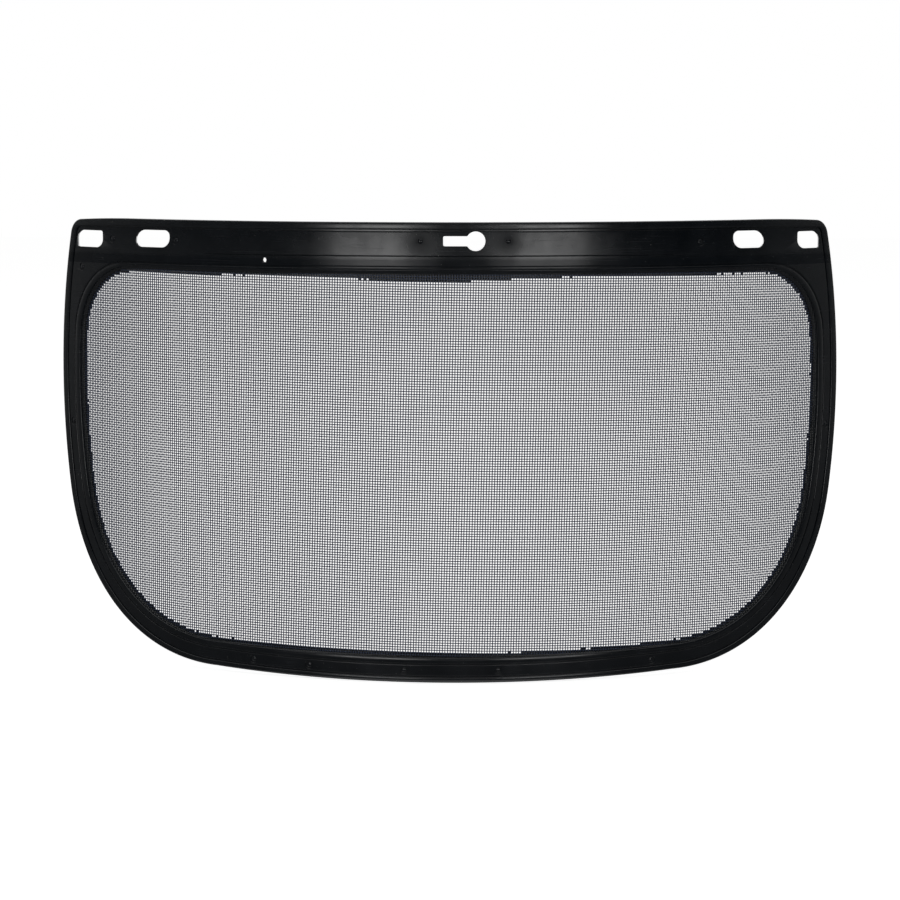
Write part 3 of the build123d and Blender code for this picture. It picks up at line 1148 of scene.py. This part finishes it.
def over_panel(inputs: Any, put: Put) -> bpy.types.NodeSocket:
    """Adds a test for whether a point lies over the tree's own flat face."""
    above = put(
        VECTOR_MATH, {0: put("GeometryNodeInputPosition")[0], 1: (0.0, 0.0, 10 * MM)}, operation="ADD"
    )[0]
    return put(
        "GeometryNodeRaycast",
        {
            "Target Geometry": inputs["Geometry"],
            "Source Position": above,
            "Ray Direction": (0.0, 0.0, -1.0),
            "Ray Length": 20 * MM,
        },
    )["Is Hit"]


@dataclass
class WovenScreen:
    """The wire cloth: upright and level wires that pass over and under each other."""

    pattern: FlatPattern
    bend: Bend
    lay: Lay = field(default_factory=Lay)
    wire: float = 0.445 * MM
    sides: int = 5
    shares: int = 3

    def section_radius(self) -> float:
        """Radius of the many-sided section whose mean width is the wire's."""
        return self.wire / 2 * math.pi / (self.sides * math.sin(math.pi / self.sides))

    def tree(self, values: dict[str, Any]) -> bpy.types.NodeTree:
        """Geometry tree that weaves one set of wires inside a flat outline."""
        tree, inputs, put = geometry_tree("Woven wires", values)
        index = put("GeometryNodeInputIndex")[0]
        share = put(MATH, {0: index, 1: inputs["Rows"]}, operation="DIVIDE")[0]
        column = put(MATH, {0: share}, operation="FLOOR")[0]
        row = put(MATH, {0: index, 1: inputs["Rows"]}, operation="MODULO")[0]
        crossing = put(MATH, {0: column, 1: row}, operation="ADD")[0]
        odd = put(MATH, {0: crossing, 1: 2.0}, operation="MODULO")[0]
        way = put(MATH, {0: odd, 1: -2.0, 2: 1.0}, operation="MULTIPLY_ADD")[0]
        rise = put(MATH, {0: way, 1: inputs["Crimp"]}, operation="MULTIPLY")[0]
        grid = laid_grid(inputs, put, rise, 0)
        number = put(
            "GeometryNodeSwitch",
            {"Switch": inputs["Upright"], "False": row, "True": column},
            input_type="FLOAT",
        )[0]
        before = put(COMPARE, {0: number, 1: inputs["First"]}, operation="LESS_THAN")[0]
        after = put(COMPARE, {0: number, 1: inputs["Last"]}, operation="GREATER_EQUAL")[0]
        others = put(BOOLEAN, {0: before, 1: after}, operation="OR")[0]
        cut = put(BOOLEAN, {0: True, 1: over_panel(inputs, put)}, operation="NIMPLY")[0]
        spare = put(BOOLEAN, {0: others, 1: cut}, operation="OR")[0]
        kept = put(
            "GeometryNodeDeleteGeometry", {"Geometry": grid, "Selection": spare}, domain="POINT"
        )[0]
        ends = put("GeometryNodeInputMeshEdgeVertices")
        run = put(VECTOR_MATH, {0: ends["Position 2"], 1: ends["Position 1"]}, operation="SUBTRACT")[0]
        sizes = put(SEPARATE, {0: put(VECTOR_MATH, {0: run}, operation="ABSOLUTE")[0]})
        climbs = put(COMPARE, {0: sizes[1], 1: sizes[0]}, operation="GREATER_THAN")[0]
        other_way = put(BOOLEAN, {0: climbs, 1: inputs["Upright"]}, operation="XOR")[0]
        lines = put(
            "GeometryNodeDeleteGeometry",
            {"Geometry": kept, "Selection": other_way},
            domain="EDGE",
            mode="EDGE_FACE",
        )[0]
        curves = put("GeometryNodeMeshToCurve", {"Mesh": lines})[0]
        section = put(
            "GeometryNodeCurvePrimitiveCircle",
            {"Resolution": inputs["Sides"], "Radius": inputs["Wire Radius"]},
        )["Curve"]
        wires = put(
            "GeometryNodeCurveToMesh", {"Curve": curves, "Profile Curve": section, "Fill Caps": True}
        )[0]
        close_tree(tree, wires, inputs["Finish"])
        return tree

    def build(self, finish: bpy.types.Material) -> list[bpy.types.Object]:
        """Builds both sets of wires, each in a few pieces.

        Args:
            finish: The wires' material.

        Returns:
            The finished pieces.
        """
        tree = None
        pieces = []
        for wires in Wires:
            upright = wires is Wires.UPRIGHT
            count = self.lay.columns if upright else self.lay.rows
            bounds = [round(i * count / self.shares) for i in range(self.shares + 1)]
            for part, (first, last) in enumerate(zip(bounds, bounds[1:]), start=1):
                piece = panel(f"{wires.value}_{part}", self.pattern.screen_outline())
                values = self.lay.values() | {
                    "Upright": upright,
                    "Crimp": self.wire / 2 * (1 if upright else -1),
                    "First": first,
                    "Last": last,
                    "Wire Radius": self.section_radius(),
                    "Sides": self.sides,
                    "Finish": finish,
                }
                tree = tree or self.tree(values)
                grow(piece, tree, values)
                wrap_mesh(piece.data, self.bend)
                finish_piece(piece, "screen_wire", *([wires.value] if part == 1 else []))
                pieces.append(piece)
        return pieces


@dataclass
class LipFlash:
    """Plastic that ran past the lip and filled openings of the screen, with a ragged edge."""

    border: MouldedBorder
    lay: Lay = field(default_factory=Lay)
    block: tuple[float, float, float] = (1.02 * MM, 0.98 * MM, 0.5 * MM)
    reach: float = 0.75 * MM
    spread: float = 1.3 * MM
    clump: float = 4.0 * MM
    wide_reach: float = 1.9 * MM
    wide_place: float = -2.0 * MM
    wide_span: float = 46.0 * MM
    least_chance: float = 0.55
    sharp_degrees: float = 30.0
    seed: int = 11

    def tree(self, values: dict[str, Any]) -> bpy.types.NodeTree:
        """Geometry tree that fills the openings near the lip's edge with small blocks."""
        tree, inputs, put = geometry_tree("Lip flash", values)
        grid = laid_grid(inputs, put, 0.0, 1)
        place = put("GeometryNodeInputPosition")[0]
        near = put(
            "GeometryNodeProximity",
            {0: inputs["Geometry"], "Sample Position": place},
            target_element="EDGES",
        )["Distance"]
        chance = put(
            "FunctionNodeRandomValue",
            {"Min_001": inputs["Least Chance"], "Seed": inputs["Seed"]},
            data_type="FLOAT",
        )[1]
        scale = put(MATH, {0: 1.0, 1: inputs["Clump"]}, operation="DIVIDE")[0]
        clumps = put(NOISE, {"Vector": place, "Scale": scale, "Detail": 2.0})["Fac"]
        uneven = put(MATH, {0: chance, 1: clumps}, operation="MULTIPLY")[0]
        ragged = put(
            MATH, {0: uneven, 1: inputs["Spread"], 2: inputs["Reach"]}, operation="MULTIPLY_ADD"
        )[0]
        parts = put(SEPARATE, {0: place})
        away = put(MATH, {0: parts[0], 1: inputs["Wide Place"]}, operation="SUBTRACT")[0]
        spans = put(MATH, {0: away, 1: inputs["Wide Span"]}, operation="DIVIDE")[0]
        square = put(MATH, {0: spans, 1: spans}, operation="MULTIPLY")[0]
        faded = put(MATH, {0: 1.0, 1: square}, operation="SUBTRACT", use_clamp=True)[0]
        high = put(MATH, {0: parts[1], 1: inputs["Middle"]}, operation="GREATER_THAN")[0]
        crest = put(MATH, {0: faded, 1: high}, operation="MULTIPLY")[0]
        reach = put(MATH, {0: crest, 1: inputs["Wide Reach"], 2: ragged}, operation="MULTIPLY_ADD")[0]
        close = put(COMPARE, {0: near, 1: reach}, operation="LESS_THAN")[0]
        past = put(BOOLEAN, {0: close, 1: over_panel(inputs, put)}, operation="AND")[0]
        under = put(COMPARE, {0: near, 1: inputs["Upright Gap"]}, operation="LESS_THAN")[0]
        chosen = put(BOOLEAN, {0: past, 1: under}, operation="OR")[0]
        cube = put(
            "GeometryNodeMeshCube",
            {"Size": inputs["Block"], "Vertices X": 2, "Vertices Y": 2, "Vertices Z": 2},
        )["Mesh"]
        blocks = put(
            "GeometryNodeInstanceOnPoints", {"Points": grid, "Selection": chosen, "Instance": cube}
        )["Instances"]
        close_tree(tree, blocks, inputs["Finish"])
        return tree

    def build(self, finish: bpy.types.Material) -> bpy.types.Object:
        """Builds the flash as one piece."""
        edge = self.border.ring("window", -self.border.lip_held_back / MM, 0.0)
        piece = panel("lip_flash", edge[:, :2])
        names = ("block", "reach", "spread", "clump", "seed", "least_chance")
        wide = ("wide_reach", "wide_place", "wide_span")
        values = self.lay.values() | labelled(self, *names, *wide) | {"Finish": finish}
        grow(piece, self.tree(values), values)
        store_mask(piece.data, "imprint", np.ones(len(piece.data.vertices)))
        wrap_mesh(piece.data, self.border.bend)
        smooth(piece.data, self.sharp_degrees)
        finish_piece(piece, "border_plastic")
        return piece


# --- the studio -----------------------------------------------------------------------------


@dataclass(frozen=True)
class Softbox:
    """One soft lamp of the studio."""

    name: str
    place: tuple[float, float, float]
    target: tuple[float, float, float]
    size: Place
    power: float

    def build(self) -> None:
        """Sets the lamp up."""
        data = bpy.data.lights.new(self.name, "AREA")
        data.shape = "RECTANGLE"
        data.size, data.size_y = self.size
        data.energy = self.power
        lamp = bpy.data.objects.new(self.name, data)
        lamp.location = self.place
        way = Vector(self.target) - Vector(self.place)
        lamp.rotation_euler = way.to_track_quat("-Z", "Y").to_euler()
        lamp.visible_camera = False
        bpy.context.scene.collection.objects.link(lamp)


@dataclass
class Studio:
    """Pale floor, white surround, soft lamps and the camera."""

    floor_z: float
    floor_size: float = 9.0
    floor_colours: tuple[str, str] = ("#e9e9e8", "#f3f3f3")
    paper_grain: float = 400.0
    surround: float = 0.22
    floor_glow: float = 0.84
    cloth_near_tone: float = 0.34
    cloth_tones: tuple[Place, ...] = (
        (-115.0, 1.0),
        (-94.0, 0.95),
        (-80.0, 0.6),
        (-72.0, 0.6),
        (-52.0, 0.3),
        (-25.0, 0.24),
        (0.0, 0.3),
        (20.0, 0.24),
        (32.0, 0.03),
        (56.0, 0.03),
        (74.0, 0.55),
        (82.0, 0.6),
        (96.0, 0.95),
        (115.0, 1.0),
    )
    cloth_inner: float = 264.0 * MM
    cloth_outer: float = 1.9
    cloth_top: float = 1.6
    cloth_sweep: float = 115.0
    cloth_steps: int = 93
    cloth_lift: float = 0.5 * MM
    aim: tuple[float, float, float] = (3.5 * MM, -1.2 * MM, -91.0 * MM)
    azimuth: float = 1.97
    elevation: float = 7.8
    distance: float = 1.0015
    lens: float = 91.6
    lamps: tuple[Softbox, ...] = (
        Softbox("left_softbox", (-0.38, -1.2, -0.1), (0.0, 0.0, -0.05), (0.44, 0.3), 1.5),
        Softbox("right_softbox", (0.47, -1.2, -0.1), (0.0, 0.0, -0.05), (0.44, 0.3), 1.5),
        Softbox("overhead_softbox", (0.0, 0.1, 1.5), (0.0, 0.0, -0.1), (1.8, 1.8), 5.0),
    )

    def seen_directly(self, put: Put) -> bpy.types.NodeSocket:
        """Adds a factor of 1 where the surround is seen directly or in a reflection."""
        path = put("ShaderNodeLightPath")
        factor = path["Is Camera Ray"]
        for name in ("Is Glossy Ray", "Is Transmission Ray"):
            factor = put(MATH, {0: factor, 1: path[name]}, operation="MAXIMUM")[0]
        return factor

    def build_surround(self) -> None:
        """White where it is seen, and a low even fill for the object."""
        world = bpy.data.worlds.new("white_surround")
        bpy.context.scene.world = world
        world.use_nodes = True
        world.node_tree.nodes.clear()
        put = putter(world.node_tree)
        dim = put("ShaderNodeBackground", {"Strength": self.surround})[0]
        white = put("ShaderNodeBackground", {"Color": WHITE, "Strength": 1.0})[0]
        seen = self.seen_directly(put)
        mixed = put("ShaderNodeMixShader", {0: seen, 1: dim, 2: white})[0]
        put("ShaderNodeOutputWorld", {"Surface": mixed})

    def build_floor(self) -> None:
        """Pale paper floor that keeps the object's shadow."""
        half = self.floor_size / 2
        mesh = bpy.data.meshes.new("studio_floor")
        corners = [(-half, -half), (half, -half), (half, half), (-half, half)]
        mesh.from_pydata([(x, y, self.floor_z) for x, y in corners], [], [(0, 1, 2, 3)])
        material, put = new_material("matte_paper")
        place = put(TEXTURE_PLACE)["Object"]
        grain = put(NOISE, {"Vector": place, "Scale": self.paper_grain})["Fac"]
        low, high = (linear(colour) for colour in self.floor_colours)
        paper = put(MIX, {"Factor": grain, "A_Color": low, "B_Color": high}, data_type="RGBA")[2]
        matte = put("ShaderNodeBsdfDiffuse", {"Color": paper})[0]
        glow, none = (
            put("ShaderNodeEmission", {"Color": WHITE, "Strength": strength})[0]
            for strength in (self.floor_glow, 0.0)
        )
        seen = self.seen_directly(put)
        lit = put("ShaderNodeMixShader", {0: seen, 1: none, 2: glow})[0]
        both = put("ShaderNodeAddShader", {0: matte, 1: lit})[0]
        put("ShaderNodeOutputMaterial", {"Surface": both})
        mesh.materials.append(material)
        link_piece("studio_floor", mesh)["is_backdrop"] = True

    def build_dark_cloth(self, bend: Bend) -> None:
        """Dark cloth on the floor and wall in front, which only the gloss of the object sees."""
        degrees = np.linspace(-self.cloth_sweep, self.cloth_sweep, self.cloth_steps)
        turns = np.radians(degrees)
        low = self.floor_z + self.cloth_lift
        steps = ((self.cloth_inner, low), (self.cloth_outer, low), (self.cloth_outer, self.cloth_top))
        points = [
            (reach * math.sin(turn), bend.axis_y - reach * math.cos(turn), z)
            for reach, z in steps
            for turn in turns
        ]
        count = len(turns)
        corners = ((0, 0), (0, 1), (1, 1), (1, 0))
        faces = [
            [(row + up) * count + i + across for up, across in corners]
            for row in range(2)
            for i in range(count - 1)
        ]
        mesh = bpy.data.meshes.new("dark_cloth")
        mesh.from_pydata(points, [], faces)
        far = np.interp(degrees, *zip(*self.cloth_tones))
        near = np.full(count, self.cloth_near_tone)
        store_mask(mesh, "tone", np.concatenate([near, far, far]))
        material, put = new_material("dark_cloth")
        tone = put(ATTRIBUTE, attribute_name="tone")["Fac"]
        matte = put("ShaderNodeBsdfDiffuse", {"Color": tone})[0]
        put("ShaderNodeOutputMaterial", {"Surface": matte})
        mesh.materials.append(material)
        cloth = link_piece("dark_cloth", mesh)
        for ray in ("camera", "diffuse", "shadow", "transmission"):
            setattr(cloth, f"visible_{ray}", False)
        cloth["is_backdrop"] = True

    def build_camera(self) -> None:
        """Camera at the viewing angle, a little above and to the right of straight on."""
        data = bpy.data.cameras.new("view_camera")
        data.lens = self.lens
        camera = bpy.data.objects.new("view_camera", data)
        turn, rise = math.radians(self.azimuth), math.radians(self.elevation)
        back = Vector(
            (math.sin(turn) * math.cos(rise), -math.cos(turn) * math.cos(rise), math.sin(rise))
        )
        camera.location = Vector(self.aim) + back * self.distance
        camera.rotation_euler = (-back).to_track_quat("-Z", "Y").to_euler()
        bpy.context.scene.collection.objects.link(camera)
        bpy.context.scene.camera = camera

    def build(self, bend: Bend) -> None:
        """Sets up the studio."""
        bpy.context.scene.view_settings.view_transform = "Standard"
        self.build_surround()
        self.build_floor()
        self.build_dark_cloth(bend)
        for lamp in self.lamps:
            lamp.build()
        self.build_camera()


def main() -> None:
    """Builds the face shield and the studio round it."""
    logging.basicConfig(level=logging.INFO, format="%(name)s: %(message)s")
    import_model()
    cad_box = [list(corner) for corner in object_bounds()]
    pattern, bend = FlatPattern(), Bend()
    plastic = MouldedPolypropylene().material("moulded_polypropylene")
    wire = CoatedSteelWire().material("coated_steel_wire")
    border = MouldedBorder(pattern, bend)
    # the opening walls get a darker, duller copy of the plastic: painted shade for the shadow inside the
    # openings
    painted_shade_lining = MouldedPolypropylene(black="#0b0c0d", roughness=0.7, shine=0.1)
    border.build(plastic, painted_shade_lining.material("polypropylene_wall_painted_shade"))
    PinDomes(border).build(plastic)
    LipFlash(border).build(plastic)
    WovenScreen(pattern, bend).build(wire)
    Studio(floor_z=cad_box[0][2]).build(bend)


if __name__ == "__main__":
    main()
